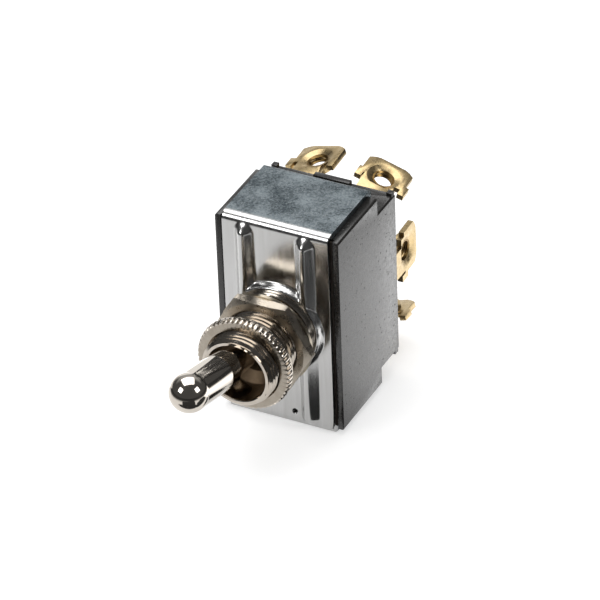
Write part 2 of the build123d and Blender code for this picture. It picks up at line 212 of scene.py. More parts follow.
def nickel_on_lever(lean):
    """Nickel that is nearly a mirror, with its tone painted a little lighter: painted light. Its
    rings go round the leaning lever's own axis.
    """
    made, tree, mm, shader = new_material("nickel_plate_mirror_painted_light_on_lever", "DED6CB",
                                          1.0, 0.06)
    level = add(tree, "ShaderNodeMapping", None,
                {"Vector": mm, "Location": (0, -0.97, 0.25), "Rotation": (lean, 0, 0)})
    cloud = add(tree, "ShaderNodeTexNoise", None, {"Vector": mm, "Scale": 0.8, "Detail": 3.0})
    polish = add(tree, "ShaderNodeTexNoise", None,
                 {"Vector": rings_round(tree, level), "Scale": 2.2, "Detail": 3.0})
    fill(shader, {
        "Roughness": add(tree, "ShaderNodeMapRange", None,
                         {0: cloud, 1: 0.3, 2: 0.7, 3: 0.06, 4: 0.13}),
        "Normal": add(tree, "ShaderNodeBump", None, {"Height": polish, "Distance": 0.0025 * MM}),
    })
    return made


lever_lean = radians(14.5)
nickel = nickel_on_brass("nickel_plate_bright_on_turned_brass", "B5AA9C", "DAD3CA", 0.07, 0.16)
# The nuts' tones are painted darker than the bushing's: painted shade.
nickel_satin_painted_shade = nickel_on_brass("nickel_plate_satin_painted_shade_on_ring_nut", "958B7E", "BDB5A9", 0.18, 0.26)
nickel_tumbled_painted_shade = nickel_on_brass("nickel_plate_tumbled_painted_shade_on_hexagon", "938A7D", "C9C0B3", 0.25, 0.34)
nickel_dull_and_painted_shade = nickel_in_bore()
nickel_mirror_painted_light = nickel_on_lever(lever_lean)
print("nickel:", nickel.name, nickel_satin_painted_shade.name, nickel_tumbled_painted_shade.name)

# %% [markdown]
# ## Zinc plate
# The bracket is pressed from zinc-plated sheet with a clear passivation. Its top keeps the dull,
# bluish spangle of the plating, with a few scratches and bright specks that are painted glints. The
# plate and its bends were burnished by the tool, so they are smooth and show the mill's upright
# lines. One value, which goes from 0 to 1 where the bend ends, leads from the one finish to the
# other.


# %% Zinc
def zinc_on_steel():
    """The spangled top and the burnished plate in one material."""
    made, tree, mm, shader = new_material("zinc_plate_clear_on_pressed_steel", "C4C8CB", 1.0, 0.2)
    split = add(tree, "ShaderNodeSeparateXYZ", None, {"Vector": mm})
    dull = add(tree, "ShaderNodeMapRange", None,
               {0: split.outputs["Y"], 1: 7.35, 2: 7.75, 3: 0.0, 4: 1.0})
    grain = add(tree, "ShaderNodeTexNoise", None, {"Vector": mm, "Scale": 2.6, "Detail": 6.0})
    patch = add(tree, "ShaderNodeTexNoise", None, {"Vector": mm, "Scale": 0.22, "Detail": 2.0})
    upright = add(tree, "ShaderNodeMapping", None, {"Vector": mm, "Scale": (1, 1, 0.05)})
    lines = add(tree, "ShaderNodeTexNoise", None, {"Vector": upright, "Scale": 2.2, "Detail": 4.0})

    both = add(tree, "ShaderNodeMath", {"operation": "ADD"}, {0: grain, 1: patch})
    crystals = add(tree, "ShaderNodeMapRange", None, {0: both, 1: 0.8, 2: 1.2, 3: 0.0, 4: 1.0})
    spangle = add(tree, "ShaderNodeMix", {"data_type": "RGBA"},
                  {0: crystals, 6: linear("4A5459"), 7: linear("9AA4A9")})
    # Bright specks painted as glints.
    specks = add(tree, "ShaderNodeTexNoise", None, {"Vector": mm, "Scale": 5.0, "Detail": 2.0})
    painted_glints = add(tree, "ShaderNodeMapRange", None, {0: specks, 1: 0.6, 2: 0.7, 3: 0.0, 4: 0.7})
    level = add(tree, "ShaderNodeMapping", None, {"Vector": mm, "Scale": (0.1, 1.8, 1)})
    hairs = add(tree, "ShaderNodeTexNoise", None, {"Vector": level, "Scale": 2.4, "Detail": 1.0})
    scratch = add(tree, "ShaderNodeMapRange", None, {0: hairs, 1: 0.64, 2: 0.72, 3: 0.0, 4: 0.25})
    marks = add(tree, "ShaderNodeMath", {"operation": "MAXIMUM"}, {0: painted_glints, 1: scratch})
    top = add(tree, "ShaderNodeMix", {"data_type": "RGBA"},
              {0: marks, 6: spangle, 7: linear("C9D0D3")})
    plate = add(tree, "ShaderNodeMix", {"data_type": "RGBA"},
                {0: lines, 6: linear("BAB9B7"), 7: linear("D4D4D4")})

    rough_top = add(tree, "ShaderNodeMapRange", None, {0: grain, 1: 0.35, 2: 0.65, 3: 0.5, 4: 0.3})
    rough_plate = add(tree, "ShaderNodeMapRange", None,
                      {0: lines, 1: 0.3, 2: 0.7, 3: 0.16, 4: 0.24})
    drawn = add(tree, "ShaderNodeBump", None, {"Height": lines, "Distance": 0.0035 * MM})
    grown = add(tree, "ShaderNodeMath", {"operation": "MULTIPLY"}, {0: grain, 1: dull})
    fill(shader, {
        "Base Color": add(tree, "ShaderNodeMix", {"data_type": "RGBA"},
                          {0: dull, 6: plate, 7: top}),
        "Roughness": add(tree, "ShaderNodeMix", {"data_type": "FLOAT"},
                         {0: dull, 2: rough_plate, 3: rough_top}),
        "Normal": add(tree, "ShaderNodeBump", None,
                      {"Height": grown, "Distance": 0.03 * MM, "Normal": drawn}),
    })
    return made


def zinc_washer():
    """The stamped washer's plating is duller and a little yellow."""
    made, tree, mm, shader = new_material("zinc_plate_on_stamped_washer", "B3AA9A", 1.0, 0.28)
    cloud = add(tree, "ShaderNodeTexNoise", None, {"Vector": mm, "Scale": 1.5, "Detail": 3.0})
    fill(shader, {"Base Color": add(tree, "ShaderNodeMix", {"data_type": "RGBA"},
                                    {0: cloud, 6: linear("8E8474"), 7: linear("C8BFAE")})})
    return made


zinc = zinc_on_steel()
print("zinc:", zinc.name)

# %% [markdown]
# ## The case's moulding
# The case is phenolic with a fibre filler: black and half matt. Its skin has fine pits where the
# filler broke through. A Voronoi pattern gives one pit to a cell, and a cloud chooses some of them.
# A pit is rough inside and sunk by a few hundredths of a millimetre.


# %% Phenolic
def phenolic():
    """A black moulding whose gloss is clouded and whose skin is pitted."""
    made, tree, mm, shader = new_material("phenolic_black_moulded", "1E1C1B", 0.0, 0.3)
    cloud = add(tree, "ShaderNodeTexNoise", None, {"Vector": mm, "Scale": 0.35, "Detail": 4.0})
    gloss = add(tree, "ShaderNodeTexNoise", None, {"Vector": mm, "Scale": 1.6, "Detail": 5.0})
    skin = add(tree, "ShaderNodeMapRange", None, {0: gloss, 1: 0.3, 2: 0.7, 3: 0.2, 4: 0.34})
    cells = add(tree, "ShaderNodeTexVoronoi", {"feature": "F1"},
                {"Vector": mm, "Scale": 1.3, "Randomness": 1.0})
    hollow = add(tree, "ShaderNodeMapRange", None, {0: cells, 1: 0.1, 2: 0.2, 3: 1.0, 4: 0.0})
    choice = add(tree, "ShaderNodeTexNoise", None, {"Vector": mm, "Scale": 0.4, "Detail": 2.0})
    chosen = add(tree, "ShaderNodeMapRange", None, {0: choice, 1: 0.48, 2: 0.56, 3: 0.0, 4: 1.0})
    pits = add(tree, "ShaderNodeMath", {"operation": "MULTIPLY"}, {0: hollow, 1: chosen})
    whole = add(tree, "ShaderNodeMath", {"operation": "SUBTRACT"}, {0: 1.0, 1: pits})
    sunk = add(tree, "ShaderNodeBump", None, {"Height": whole, "Distance": 0.03 * MM})
    fine = add(tree, "ShaderNodeTexNoise", None, {"Vector": mm, "Scale": 3.5, "Detail": 3.0})
    fill(shader, {
        "IOR": 1.7,
        "Base Color": add(tree, "ShaderNodeMix", {"data_type": "RGBA"},
                          {0: cloud, 6: linear("171615"), 7: linear("272523")}),
        "Roughness": add(tree, "ShaderNodeMath", {"operation": "MAXIMUM"}, {0: skin, 1: pits}),
        "Normal": add(tree, "ShaderNodeBump", None,
                      {"Height": fine, "Distance": 0.006 * MM, "Normal": sunk}),
    })
    return made


moulding = phenolic()
print("case:", moulding.name)

# %% [markdown]
# ## Brass
# The terminals are stamped from brass sheet and dipped bright. They are pale yellow and smooth,
# with faint rolling lines across and rubbed spots that are a little rougher.


# %% Brass
def stamped_brass():
    """Pale brass with rolling lines and rubbed spots."""
    made, tree, mm, shader = new_material("brass_bright_dipped_stamped", "CDB583", 1.0, 0.2)
    cloud = add(tree, "ShaderNodeTexNoise", None, {"Vector": mm, "Scale": 0.6, "Detail": 4.0})
    rubbed = add(tree, "ShaderNodeTexNoise", None, {"Vector": mm, "Scale": 2.0, "Detail": 3.0})
    along_y = add(tree, "ShaderNodeMapping", None, {"Vector": mm, "Scale": (1, 0.15, 1)})
    rolled = add(tree, "ShaderNodeTexNoise", None, {"Vector": along_y, "Scale": 1.5, "Detail": 2.0})
    fill(shader, {
        "Base Color": add(tree, "ShaderNodeMix", {"data_type": "RGBA"},
                          {0: cloud, 6: linear("B69D6E"), 7: linear("D2BD94")}),
        "Roughness": add(tree, "ShaderNodeMapRange", None,
                         {0: rubbed, 1: 0.3, 2: 0.7, 3: 0.22, 4: 0.4}),
        "Normal": add(tree, "ShaderNodeBump", None, {"Height": rolled, "Distance": 0.002 * MM}),
    })
    return made


brass = stamped_brass()
print("terminals:", brass.name)

# %% [markdown]
# ## The hidden parts
# Inside the case are a sheet of vulcanised fibre, which is matt brown paper board, a dark block
# moulded in a thermosetting plastic, and small parts in bare metals: ground steel, drawn spring
# steel, turned brass, a copper alloy and silver. Each metal is clouded between two of its tones and
# has a very fine grain. Each CAD node gets the finish whose name its own name starts with.


# %% Inner finishes
def fibre_sheet():
    """Matt brown board with a pattern of fibres."""
    made, tree, mm, shader = new_material("vulcanised_fibre_sheet", "3A322B", 0.0, 0.75)
    fibres = add(tree, "ShaderNodeTexNoise", None, {"Vector": mm, "Scale": 3.0, "Detail": 5.0})
    fill(shader, {"Base Color": add(tree, "ShaderNodeMix", {"data_type": "RGBA"},
                                    {0: fibres, 6: linear("2C2620"), 7: linear("4A4037")})})
    return made


def bare_metal(name, dark, light, roughness):
    """A metal that is clouded between two of its tones, with a very fine grain."""
    made, tree, mm, shader = new_material(name, light, 1.0, roughness)
    cloud = add(tree, "ShaderNodeTexNoise", None, {"Vector": mm, "Scale": 1.5, "Detail": 4.0})
    grain = add(tree, "ShaderNodeTexNoise", None, {"Vector": mm, "Scale": 4.0, "Detail": 3.0})
    fill(shader, {
        "Base Color": add(tree, "ShaderNodeMix", {"data_type": "RGBA"},
                          {0: cloud, 6: linear(dark), 7: linear(light)}),
        "Normal": add(tree, "ShaderNodeBump", None, {"Height": grain, "Distance": 0.004 * MM}),
    })
    return made


def moulded_plastic():
    """A plain dark moulding with the soft sheen of a mould's face."""
    made, tree, mm, shader = new_material("melamine_dark_moulded", "2A2622", 0.0, 0.45)
    sheen = add(tree, "ShaderNodeTexNoise", None, {"Vector": mm, "Scale": 3.0, "Detail": 3.0})
    fill(shader, {"Normal": add(tree, "ShaderNodeBump", None,
                                {"Height": sheen, "Distance": 0.01 * MM})})
    return made


brass_dark = bare_metal("brass_darker_in_tapped_hole", "5A4426", "A88A55", 0.3)
# The punch mark's hollow is painted near black: painted shade of a deep hole.
zinc_painted_shade = bare_metal("zinc_painted_shade_in_punch_mark", "0E0D0C", "1E1C1A", 0.6)
spring_steel = bare_metal("spring_steel_drawn", "77756F", "B4B2AC", 0.25)
finishes = {
    "lock_washer": zinc_washer(),
    "insulator_sheet": fibre_sheet(),
    "pivot_pin": bare_metal("steel_pin_ground", "8E8C88", "C2C0BC", 0.2),
    "actuator": moulded_plastic(),
    "plunger": bare_metal("brass_turned", "B08A4A", "D2B070", 0.22),
    "plunger_spring": spring_steel,
    "rocker": bare_metal("copper_alloy_stamped", "A8714C", "C99673", 0.25),
    "rocker_contacts": bare_metal("silver_riveted", "BFBDB8", "E6E4E0", 0.22),
    "fixed_contact": bare_metal("silver_riveted_fixed", "BFBDB8", "E6E4E0", 0.24),
}
for name, node in nodes.items():
    kinds = [kind for kind in finishes if name.startswith(kind)]
    node.data.materials.clear()
    node.data.materials.append(finishes[max(kinds, key=len)] if kinds else nickel)
print("materials:", len(bpy.data.materials))

# %% [markdown]
# ## Helpers for shapes
# Most pieces of a switch are turned on a lathe or pressed from sheet. They are drawn here in
# millimetres round the bushing's axis, which is the Y axis, and scaled to metres at the end. A
# turned piece is half an outline that is spun. A knurled or six-sided piece is a ring of points
# that is extruded along the axis, with its radius set at each step.

# %% Turned and extruded shapes
smallest_gap = 1e-4


def arc(centre, radius, start, end, steps):
    """Points of an arc as (distance from the axis, depth). Zero degrees faces the viewer."""
    angles = [radians(start + (end - start) * k / steps) for k in range(steps + 1)]
    return [(radius * sin(a), centre - radius * cos(a)) for a in angles]


def lathe(bm, outline, steps=96):
    """Spins an outline of (radius, depth) points round the Y axis."""
    points = [bm.verts.new((radius, depth, 0)) for radius, depth in outline]
    lines = [bm.edges.new(pair) for pair in zip(points, points[1:])]
    bmesh.ops.spin(bm, geom=points + lines, cent=(0, 0, 0), axis=(0, 1, 0), angle=2 * pi,
                   steps=steps, use_merge=True)
    bmesh.ops.remove_doubles(bm, verts=bm.verts[:], dist=smallest_gap)


def wrap(bm, count, stations):
    """A closed skin round the Y axis. Each station gives the radius and the depth at an angle."""
    turn = Matrix.Rotation(pi / 2, 4, "X")
    ring = bmesh.ops.create_circle(bm, segments=count, radius=1, matrix=turn)["verts"]
    edges = list({edge for point in ring for edge in point.link_edges})
    first_edges = edges
    for k, station in enumerate(stations):
        if k:
            made = bmesh.ops.extrude_edge_only(bm, edges=edges)["geom"]
            ring = [part for part in made if isinstance(part, bmesh.types.BMVert)]
            inside = set(ring)
            edges = [edge for edge in bm.edges
                     if edge.verts[0] in inside and edge.verts[1] in inside]
        for point in ring:
            angle = atan2(point.co.z, point.co.x)
            radius, depth = station(angle)
            point.co = (radius * cos(angle), depth, radius * sin(angle))
    bmesh.ops.bridge_loops(bm, edges=first_edges + edges)


def ring_at(radius, depth):
    """A station of one radius and depth all the way round."""
    return lambda angle: (radius, depth)


print("a quarter arc:", [(round(r, 2), round(d, 2)) for r, d in arc(0, 1, 0, 90, 2)])

# %% [markdown]
# ## From a mesh to a piece
# A finished mesh is scaled to metres and its normals are made to point outwards. Its edges are
# shaded smooth unless they are sharp. Then it stands for its CAD node and rides on the body that
# the node rides on. Some pieces start from the CAD node itself: a copy of its loose triangles is
# joined and its flat faces are made whole again.


# %% Finishing a piece
def paint(bm, index, chosen):
    """Gives the faces whose centre passes a test another of the piece's materials."""
    for face in bm.faces:
        if chosen(face.calc_center_median()):
            face.material_index = index


def finish_piece(bm, name, body, replaced, materials, sharp=35.0, modifiers=()):
    """Makes an object of a mesh in millimetres, and hangs it on its body, if it has one."""
    bmesh.ops.remove_doubles(bm, verts=bm.verts[:], dist=smallest_gap)
    bmesh.ops.recalc_face_normals(bm, faces=bm.faces[:])
    bmesh.ops.scale(bm, vec=(MM, MM, MM), verts=bm.verts[:])
    for face in bm.faces:
        face.smooth = True
    for edge in bm.edges:
        if len(edge.link_faces) == 2:
            edge.smooth = edge.calc_face_angle() < radians(sharp)
    mesh = bpy.data.meshes.new(name)
    bm.to_mesh(mesh)
    bm.free()
    for material in materials:
        mesh.materials.append(material)
    piece = bpy.data.objects.new(name, mesh)
    scene.collection.objects.link(piece)
    for kind, settings in modifiers:
        modifier = piece.modifiers.new(kind.lower(), kind)
        for key, value in settings.items():
            setattr(modifier, key, value)
    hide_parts(*replaced)
    if body:
        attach(piece, body)
    print(name, "faces:", len(mesh.polygons))
    return piece


def merged_copy(name):
    """A CAD node's mesh in millimetres, with its triangles joined and its flat faces whole."""
    bm = bmesh.new()
    bm.from_mesh(nodes[name].data)
    bmesh.ops.scale(bm, vec=(1 / MM, 1 / MM, 1 / MM), verts=bm.verts[:])
    bmesh.ops.remove_doubles(bm, verts=bm.verts[:], dist=smallest_gap)
    bmesh.ops.dissolve_limit(bm, angle_limit=radians(1.0), verts=bm.verts[:], edges=bm.edges[:])
    return bm


print("CAD nodes to start from:", sorted(nodes)[:3])

# %% [markdown]
# ## The lever
# The real lever is one turned and nickel-plated piece: a ball at the tip that flows into a shaft
# with two fine rings, a thinner neck where it passes through the bushing, a ball that it pivots on,
# and a tail inside the case. All of it is one outline, spun. It leans upwards on its pivot, so the
# finished shape is turned with a matrix, and its object stays at the origin.

# %% Lever
pivot = Vector((0, 1.0, 0))
lean = Matrix.Translation(pivot) @ Matrix.Rotation(-lever_lean, 4, "X")
tip_radius, tip_depth = 3.08, -24.5
pivot_ball_radius = 3.3
tail = [(0, 11.9), (1.55, 11.9), (1.7, 11.75), (1.7, 3.1)]
pivot_ball = arc(0, pivot_ball_radius, 180 - 31.0, 35.2, 24)
neck = [(1.92, -3.2), (2.13, -11.3)]
inner_ring = [(2.16, -11.6), (2.24, -11.85), (2.4, -12.06), (2.62, -12.22), (2.72, -12.38)]
outer_ring = [(2.76, -12.8), (2.9, -15.55), (2.93, -15.66), (2.99, -15.78), (3.0, -15.9)]
shaft = [(3.0, -20.0), (3.0, -23.6)]
tip = arc(tip_depth, tip_radius, 103.5, 0, 28)
bm = bmesh.new()
lathe(bm, tail + pivot_ball + neck + inner_ring + outer_ring + shaft + tip, 128)
bmesh.ops.transform(bm, matrix=lean, verts=bm.verts[:])
finish_piece(bm, "turned_lever", "lever", ["toggle_lever"], [nickel_mirror_painted_light])

# %% [markdown]
# ## A screw thread
# A thread is a short outline that moves along the axis while it is spun, so each turn joins the
# next. It is made a little too long and cut off square at both ends. Where the crests have to be
# lower, the points are pressed in to a limit. The open ends are closed with a flat ring.

# %% Thread helper
thread_pitch = 25.4 / 32


def thread(bm, root, crest, start, end, steps, limit):
    """A screw thread from start to end. The limit gives the largest radius at a depth."""
    turns = int((end - start) / thread_pitch) + 3
    parts = [(root, 0.0), (root, 0.1), (crest, 0.45), (crest, 0.55), (root, 0.9), (root, 1.0)]
    points = [bm.verts.new((radius, start + (part - 1.5) * thread_pitch, 0))
              for radius, part in parts]
    lines = [bm.edges.new(pair) for pair in zip(points, points[1:])]
    bmesh.ops.spin(bm, geom=points + lines, cent=(0, 0, 0), axis=(0, 1, 0),
                   angle=2 * pi * turns, dvec=(0, thread_pitch / steps, 0),
                   steps=turns * steps, use_merge=False)
    bmesh.ops.remove_doubles(bm, verts=bm.verts[:], dist=1e-3)
    for depth, way in ((start, -1), (end, 1)):
        everything = bm.verts[:] + bm.edges[:] + bm.faces[:]
        bmesh.ops.bisect_plane(bm, geom=everything, dist=1e-5, plane_co=(0, depth, 0),
                               plane_no=(0, way, 0), clear_outer=True)
    for point in bm.verts:
        radius = hypot(point.co.x, point.co.z)
        allowed = limit(point.co.y)
        if radius > allowed:
            point.co.x *= allowed / radius
            point.co.z *= allowed / radius


def rim_edges(bm, depth, smallest, largest):
    """The open edges that lie round the axis at a depth, between two radii."""
    found = []
    for edge in bm.edges:
        if len(edge.link_faces) != 1:
            continue
        flat = all(abs(point.co.y - depth) < 0.01 for point in edge.verts)
        near = all(smallest < hypot(point.co.x, point.co.z) < largest for point in edge.verts)
        if flat and near:
            found.append(edge)
    return found


def close_ring(bm, edges):
    """Fills the flat ring between two loops of open edges."""
    bmesh.ops.triangle_fill(bm, edges=edges, use_beauty=True, use_dissolve=False,
                            normal=(0, 1, 0))


print("thread pitch:", round(thread_pitch, 3), "mm")

# %% [markdown]
# ## The bushing
# The bushing is brass, turned and threaded, 11.9 mm over its crests with 32 threads to the inch. At
# the front its crests start low, on the cone that a die leaves. At the shoulder they run out. Its
# rounded mouth leads to a bore for the lever, and that to the seat of the pivot ball.

# %% Bushing
front, shoulder_front = -8.1, 4.3
root_radius, crest_radius = 5.46, 5.95
bore_radius = 4.9
bore_wall = bore_radius - 0.02
dull_from, dull_to = front + 0.6, 3.4


def crest_limit(depth):
    """The largest radius of the thread at a depth."""
    lead_in = 5.5 + 1.1 * (depth - front)
    run_out = max(root_radius, crest_radius - 1.6 * (depth - 3.9))
    return min(lead_in, crest_radius, run_out)


bm = bmesh.new()
thread(bm, root_radius, crest_radius, front, shoulder_front, 96, crest_limit)
mouth = [(5.2, front), (5.03, front + 0.04), (4.92, front + 0.17), (bore_radius, front + 0.4)]
seat = [(bore_radius, -3.1), (3.37, -1.8), (3.37, 3.4), (4.6, 6.45)]
back = [(6.2, 6.45), (6.35, 6.3), (6.35, 5.8), (5.5, 5.8), (5.5, 5.0)]
shoulder = [(6.45, 5.0), (6.6, 4.85), (6.6, 4.45), (6.45, 4.3), (5.8, 4.3)]
lathe(bm, mouth + seat + back + shoulder)
for depth in (front, shoulder_front):
    close_ring(bm, rim_edges(bm, depth, smallest=4.5, largest=6.2))
# The bore's faces get the thin dull plating, whose darker tone is also painted shade.
paint(bm, 1, lambda middle: hypot(middle.x, middle.z) < bore_wall
      and dull_from < middle.y < dull_to)
finish_piece(bm, "threaded_bushing", "housing", ["bushing"],
             [nickel, nickel_dull_and_painted_shade], 25.0)

# %% [markdown]
# ## The knurled ring nut
# The nut in front of the panel is thin and round. A straight knurl is rolled round its front part,
# and a plain band is left behind it. Six points stand for each tooth: four on its crest, which is a
# little round, and two in the groove beside it.

# %% Ring nut
teeth = 56
nut_bore = 5.97
nut_front, nut_back = -5.7, -3.7
nut_chamfer = 0.3
knurl_end = nut_front + 1.45
tooth_rise = (0.86, 1.0, 1.0, 0.86, 0.0, 0.0)
points_round = teeth * len(tooth_rise)


def knurl(crest, groove, depth):
    """A station whose radius goes over the crest of each tooth and down into its groove."""
    def station(angle):
        part = round(angle / (2 * pi) * points_round) % len(tooth_rise)
        return groove + (crest - groove) * tooth_rise[part], depth
    return station


front_face = [ring_at(nut_bore, nut_front + nut_chamfer),
              ring_at(nut_bore + nut_chamfer, nut_front), ring_at(7.5, nut_front)]
knurled = [knurl(crest, groove, nut_front + behind) for crest, groove, behind in (
    (7.72, 7.5, 0.04), (7.82, 7.47, 0.25), (7.88, 7.46, 0.55), (7.9, 7.46, 0.9),
    (7.85, 7.48, 1.25), (7.7, 7.5, 1.4))]
band = [ring_at(7.5, nut_front + 1.42), ring_at(7.62, nut_front + 1.47),
        ring_at(7.62, nut_back - 0.25), ring_at(7.58, nut_back - 0.1), ring_at(7.42, nut_back)]
back_face = [ring_at(nut_bore + nut_chamfer, nut_back), ring_at(nut_bore, nut_back - nut_chamfer)]
bm = bmesh.new()
wrap(bm, points_round, front_face + knurled + band + back_face)
# The knurl's teeth get the bushing's nickel. The rest of the ring nut gets the satin nickel, whose
# darker tone is painted shade.
paint(bm, 1, lambda middle: hypot(middle.x, middle.z) > 7.45 and middle.y < knurl_end)
finish_piece(bm, "knurled_ring_nut", "housing", ["ring_nut"],
             [nickel_satin_painted_shade, nickel])

# %% [markdown]
# ## The hexagon nut
# The corners of a hexagon nut are turned off by a cone on both faces, so each flat ends in a curve.
# The outline has twenty-four points to a side. A point's depth on the edge of a face follows from
# how far it stands out past the cone's start.

# %% Hexagon nut
across_flats = 15.1
corner_cut = 0.07
corner_radius = across_flats / 2 / cos(pi / 6) - corner_cut
cone_start = 7.42
cone_slope = tan(radians(17))
hex_front, hex_back = 0.0, 1.95
hex_chamfer = 0.35
points_to_side = 24


def flat_radius(angle):
    """The radius of a hexagon with slightly cut corners, two of them level, at an angle."""
    from_flat = angle % (pi / 3) - pi / 6
    return min(across_flats / 2 / cos(from_flat), corner_radius)


def hexagon(face, way):
    """A station on a face's edge, where the cone cuts the flats."""
    def station(angle):
        radius = flat_radius(angle)
        return radius, face + way * (radius - cone_start) * cone_slope
    return station


bm = bmesh.new()
wrap(bm, 6 * points_to_side, [
    ring_at(nut_bore, hex_front + hex_chamfer), ring_at(nut_bore + hex_chamfer, hex_front),
    ring_at(cone_start, hex_front), hexagon(hex_front, 1), hexagon(hex_back, -1),
    ring_at(cone_start, hex_back),
    ring_at(nut_bore + hex_chamfer, hex_back), ring_at(nut_bore, hex_back - hex_chamfer),
])
finish_piece(bm, "hexagon_nut", "housing", ["hex_nut"], [nickel_tumbled_painted_shade], 14.0)

# %% [markdown]
# ## The bracket's fold
# The bracket is one strip of steel, folded to a U whose ends are crimped over the case. Its outside
# is drawn as a line in side view, from the lower lip to the upper one. A fine grid is bent along
# that line later, so each row of the grid needs the point at its share of the line's length.

# %% Fold
half_width = 9.0
plate_front = 6.2
half_height = 18.325
flange_end = 20.29
sheet_thickness = 0.95
bend_radius, lip_radius = 1.3, 0.95
lip_height = half_height - 1.8


def fold_line():
    """The outside of the folded sheet from the lower lip to the upper one, as (depth, height)."""
    upper = []
    for k in range(13):
        angle = radians(90 * k / 12)
        upper.append((plate_front + bend_radius - bend_radius * cos(angle),
                      half_height - bend_radius + bend_radius * sin(angle)))
    for k in range(9):
        angle = radians(90 * k / 8)
        upper.append((flange_end + lip_radius * sin(angle),
                      half_height - lip_radius + lip_radius * cos(angle)))
    upper.append((flange_end + lip_radius, lip_height))
    return [(depth, -height) for depth, height in reversed(upper)] + upper


def along(line, share):
    """The point at a share of a line's length."""
    lengths = [hypot(b[0] - a[0], b[1] - a[1]) for a, b in zip(line, line[1:])]
    left = share * sum(lengths)
    for a, b, length in zip(line, line[1:], lengths):
        if left <= length + 1e-9:
            part = left / length
            return a[0] + (b[0] - a[0]) * part, a[1] + (b[1] - a[1]) * part
        left -= length
    return line[-1]


fold = fold_line()
print("fold: middle of the line at", [round(value, 2) for value in along(fold, 0.5)])

# %% [markdown]
# ## What is pressed into the plate
# A raised boss and two ribs are pressed in from behind, and a small mark is punched from the front.
# Pressed metal falls off smoothly, so each form has a radius and a run-out. Each leaves a share of
# the plate flat, and the product of the shares lets the forms run into each other.

# %% Pressed forms
press_depth = 1.2
boss_radius, boss_run_out = 7.85, 0.62
rib_places, rib_middle, rib_reach = (-5.3, 5.05), -0.1, 15.75
rib_radius, rib_run_out = 1.82, 1.7
punch_mark = (2.31, -15.66)
punch_radius, punch_run_out, punch_depth = 0.5, 0.2, 0.4


def ease(value):
    """Goes smoothly from 0 to 1."""
    value = max(0.0, min(1.0, value))
    return value * value * (3 - 2 * value)


def pressed_height(x, z):
    """How far the plate is pressed forward at a place on it."""
    flat = 1 - ease((boss_radius - hypot(x, z)) / boss_run_out)
    for place in rib_places:
        past_end = max(abs(z - rib_middle) - rib_reach, 0.0)
        flat *= 1 - ease((rib_radius - hypot(x - place, past_end)) / rib_run_out)
    from_mark = hypot(x - punch_mark[0], z - punch_mark[1])
    return press_depth * (1 - flat) - punch_depth * ease((punch_radius - from_mark) / punch_run_out)


print("boss height:", pressed_height(0, 0), "mm, punched mark:", pressed_height(*punch_mark), "mm")

# %% [markdown]
# ## The folded bracket
# The grid is bent along the fold, the plate's points are pressed forward, and the hole for the
# bushing is opened by taking out the faces inside it and drawing its rim to a true circle. A
# Solidify modifier gives the sheet its thickness, and a small bevel takes off the sharp rim.

# %% Bracket
hole_radius = 5.5
plate_end = plate_front + 0.6
mark_radius = 0.42
bm = bmesh.new()
bmesh.ops.create_grid(bm, x_segments=108, y_segments=400, size=1.0)
for point in bm.verts:
    depth, height = along(fold, (point.co.y + 1) / 2)
    across = point.co.x * half_width
    if depth < plate_end:
        depth -= pressed_height(across, height)
    point.co = (across, depth, height)
middles = {face: face.calc_center_median() for face in bm.faces}
inside = [face for face, middle in middles.items()
          if hypot(middle.x, middle.z) < hole_radius and middle.y < plate_front]
bmesh.ops.delete(bm, geom=inside, context="FACES")
for edge in bm.edges:
    if len(edge.link_faces) == 1:
        for point in edge.verts:
            radius = hypot(point.co.x, point.co.z)
            if radius < hole_radius + 1 and point.co.y < plate_front:
                point.co.x *= hole_radius / radius
                point.co.z *= hole_radius / radius
# The punch mark's faces get the near-black zinc: painted shade.
paint(bm, 1, lambda middle: middle.y < plate_end and hypot(
    middle.x - punch_mark[0], middle.z - punch_mark[1]) < mark_radius)
sheet = [
    ("SOLIDIFY", {"thickness": sheet_thickness * MM, "offset": -1.0, "use_even_offset": True}),
    ("BEVEL", {"width": 0.09 * MM, "segments": 2, "limit_method": "ANGLE",
               "angle_limit": radians(60)}),
]
finish_piece(bm, "folded_bracket", "housing", ["bracket"], [zinc, zinc_painted_shade],
             60.0, sheet)

# %% [markdown]
# ## The case
# The case is a moulding, so its edges are a little round. Its CAD solid already has the right
# shape, so a merged copy of it is used, and its edges are bevelled.


# %% Case
def soften(bm, offset, sharpest):
    """Bevels every edge that is sharper than an angle."""
    edges = [edge for edge in bm.edges
             if len(edge.link_faces) == 2 and edge.calc_face_angle() > radians(sharpest)]
    bmesh.ops.bevel(bm, geom=edges, offset=offset, offset_type="OFFSET", segments=2,
                    profile=0.5, affect="EDGES", material=-1, clamp_overlap=True)


bm = merged_copy("case")
soften(bm, offset=0.12, sharpest=40)
finish_piece(bm, "moulded_case", "housing", ["case"], [moulding], sharp=40)

# %% [markdown]
# ## The terminals
# Each terminal is a brass stamping with a dished and tapped screw hole. The hole's thread is a
# short sleeve whose inside is a real screw thread. It is placed in the hole by the mount that the
# CAD model's record gives for its screw. The thread is given a darker brass.

# %% Terminals
sleeve_radius = 1.84
sleeve_wall = sleeve_radius - 0.02
set_back = 0.03
tap_root, tap_crest = 1.77, 1.44
unlimited = 9


